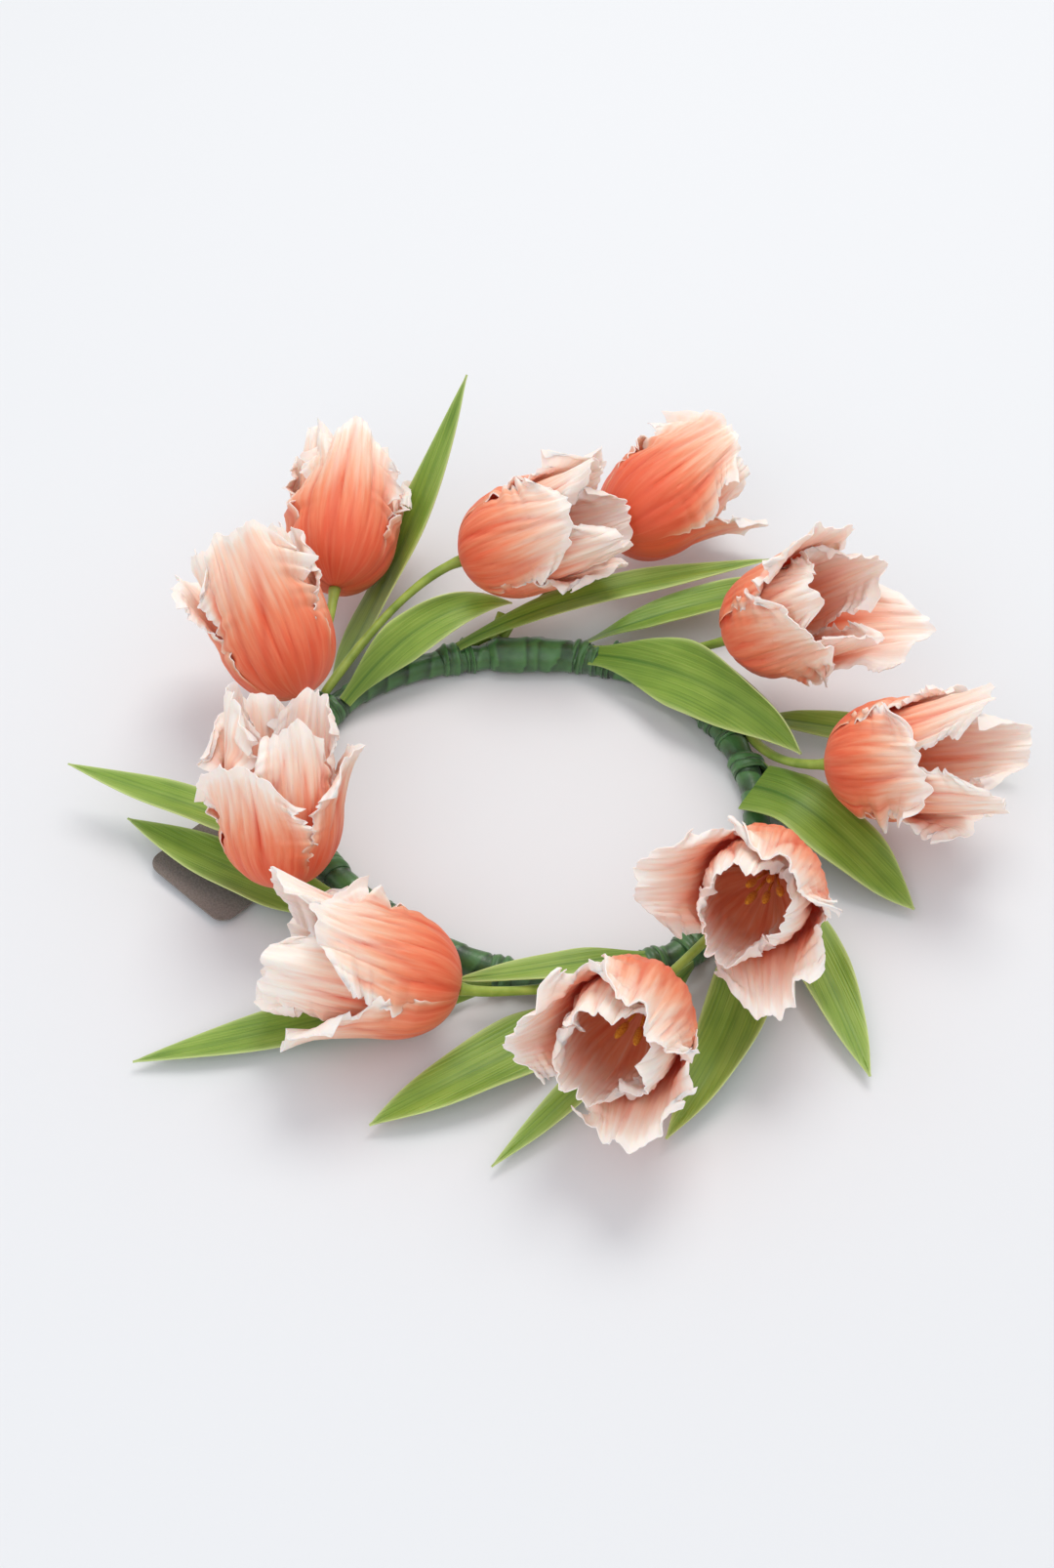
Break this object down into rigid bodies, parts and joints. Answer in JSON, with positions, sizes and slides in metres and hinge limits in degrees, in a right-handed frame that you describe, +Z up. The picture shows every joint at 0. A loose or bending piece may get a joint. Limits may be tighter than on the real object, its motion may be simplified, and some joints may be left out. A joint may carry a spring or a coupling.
{
  "type": "flower crown",
  "caption": "Artificial flower crown: a hand-bent wire ring wound in floral tape, with fringed tulips, strap leaves and a blank card tag.",
  "frame": {"origin": "middle of the head opening, on the plane that the ring rests on", "axes": "+Z up out of the ring, +Y to the back, where the wire is joined, +X to the right of a viewer in front"},
  "size_m": [0.3857, 0.3614, 0.0932],
  "materials": {
    "florist_wire": "drawn steel wire, hidden inside the tape",
    "floral_tape": "waxed dark green tape, wound with overlapping turns, satin",
    "leaf_foam": "soft moulded leaf with parallel veins and paler edges, satin",
    "stem_foam": "yellow-green coated wire stem, satin",
    "petal_coral": "soft foam petal, coral at the base and cream at its fringed rim, matt",
    "petal_pale": "soft foam petal, brick coral inside and cream at its fringed rim, matt",
    "stamen_yellow": "yellow-orange flocked stamens, matt",
    "tag_card": "taupe card, blank, matt"
  },
  "bodies": {
    "root": {"ring_wire": "florist_wire", "ring_tape": "floral_tape", "joint_binding": "floral_tape", "leaf_01": "leaf_foam", "leaf_02": "leaf_foam", "leaf_03": "leaf_foam", "leaf_04": "leaf_foam", "leaf_05": "leaf_foam", "leaf_06": "leaf_foam", "leaf_07": "leaf_foam", "leaf_08": "leaf_foam", "leaf_09": "leaf_foam", "leaf_10": "leaf_foam", "leaf_11": "leaf_foam", "leaf_12": "leaf_foam", "leaf_13": "leaf_foam", "leaf_14": "leaf_foam", "leaf_16": "leaf_foam"},
    "tulip_01": {"tulip_01_stem": "stem_foam", "tulip_01_outer_petals": "petal_coral", "tulip_01_inner_petals": "petal_pale", "tulip_01_stamens": "stamen_yellow", "leaf_15": "leaf_foam"},
    "tulip_02": {"tulip_02_stem": "stem_foam", "tulip_02_outer_petals": "petal_coral", "tulip_02_inner_petals": "petal_pale", "tulip_02_stamens": "stamen_yellow"},
    "tulip_03": {"tulip_03_stem": "stem_foam", "tulip_03_outer_petals": "petal_coral", "tulip_03_inner_petals": "petal_pale", "tulip_03_stamens": "stamen_yellow"},
    "tulip_04": {"tulip_04_stem": "stem_foam", "tulip_04_outer_petals": "petal_coral", "tulip_04_inner_petals": "petal_pale", "tulip_04_stamens": "stamen_yellow"},
    "tulip_05": {"tulip_05_stem": "stem_foam", "tulip_05_outer_petals": "petal_coral", "tulip_05_inner_petals": "petal_pale", "tulip_05_stamens": "stamen_yellow"},
    "tulip_06": {"tulip_06_stem": "stem_foam", "tulip_06_outer_petals": "petal_coral", "tulip_06_inner_petals": "petal_pale", "tulip_06_stamens": "stamen_yellow"},
    "tulip_07": {"tulip_07_stem": "stem_foam", "tulip_07_outer_petals": "petal_coral", "tulip_07_inner_petals": "petal_pale", "tulip_07_stamens": "stamen_yellow"},
    "tulip_08": {"tulip_08_stem": "stem_foam", "tulip_08_outer_petals": "petal_coral", "tulip_08_inner_petals": "petal_pale", "tulip_08_stamens": "stamen_yellow"},
    "tulip_09": {"tulip_09_stem": "stem_foam", "tulip_09_outer_petals": "petal_coral", "tulip_09_inner_petals": "petal_pale", "tulip_09_stamens": "stamen_yellow"},
    "tulip_10": {"tulip_10_stem": "stem_foam", "tulip_10_outer_petals": "petal_coral", "tulip_10_inner_petals": "petal_pale", "tulip_10_stamens": "stamen_yellow"},
    "tag": {"tag": "tag_card"}
  },
  "joints": [
    {"name": "tag_swing", "type": "hinge", "parent": "root", "child": "tag", "pos_m": [-0.09974, -0.00523, 0.00514], "axis": [-0.7314, 0.682, 0], "range_deg": [-85, 0]},
    {"name": "tulip_01_bend", "type": "hinge", "parent": "root", "child": "tulip_01", "pos_m": [-0.08808, 0.05085, 0.01189], "axis": [0.7071, -0.7071, 0], "range_deg": [0, 20]},
    {"name": "tulip_02_bend", "type": "hinge", "parent": "root", "child": "tulip_02", "pos_m": [-0.0284, 0.08741, 0.00514], "axis": [0, 0, 1], "range_deg": [0, 20]},
    {"name": "tulip_03_bend", "type": "hinge", "parent": "root", "child": "tulip_03", "pos_m": [0.03689, 0.08286, 0.0078], "axis": [-0.2756, -0.9613, 0], "range_deg": [0, 20]},
    {"name": "tulip_04_bend", "type": "hinge", "parent": "root", "child": "tulip_04", "pos_m": [0.08956, 0.03619, 0.00649], "axis": [0, 0, 1], "range_deg": [0, 15]},
    {"name": "tulip_05_bend", "type": "hinge", "parent": "root", "child": "tulip_05", "pos_m": [0.09516, -0.02023, 0.01015], "axis": [-0.9945, 0.1045, 0], "range_deg": [0, 18]},
    {"name": "tulip_06_bend", "type": "hinge", "parent": "root", "child": "tulip_06", "pos_m": [0.08132, -0.05485, 0.01111], "axis": [-0.809, 0.5878, 0], "range_deg": [0, 8]},
    {"name": "tulip_07_bend", "type": "hinge", "parent": "root", "child": "tulip_07", "pos_m": [0.01978, -0.09304, 0.01015], "axis": [0, 0, 1], "range_deg": [0, 12]},
    {"name": "tulip_08_bend", "type": "hinge", "parent": "root", "child": "tulip_08", "pos_m": [-0.04438, -0.07102, 0.01189], "axis": [0.2588, 0.9659, 0], "range_deg": [0, 20]},
    {"name": "tulip_09_bend", "type": "hinge", "parent": "root", "child": "tulip_09", "pos_m": [-0.10121, 0, 0.01015], "axis": [0.9781, -0.2079, 0], "range_deg": [0, 20]},
    {"name": "tulip_10_bend", "type": "hinge", "parent": "root", "child": "tulip_10", "pos_m": [-0.09873, 0.03208, 0.01111], "axis": [0.9744, -0.225, 0], "range_deg": [0, 10]}
  ]
}
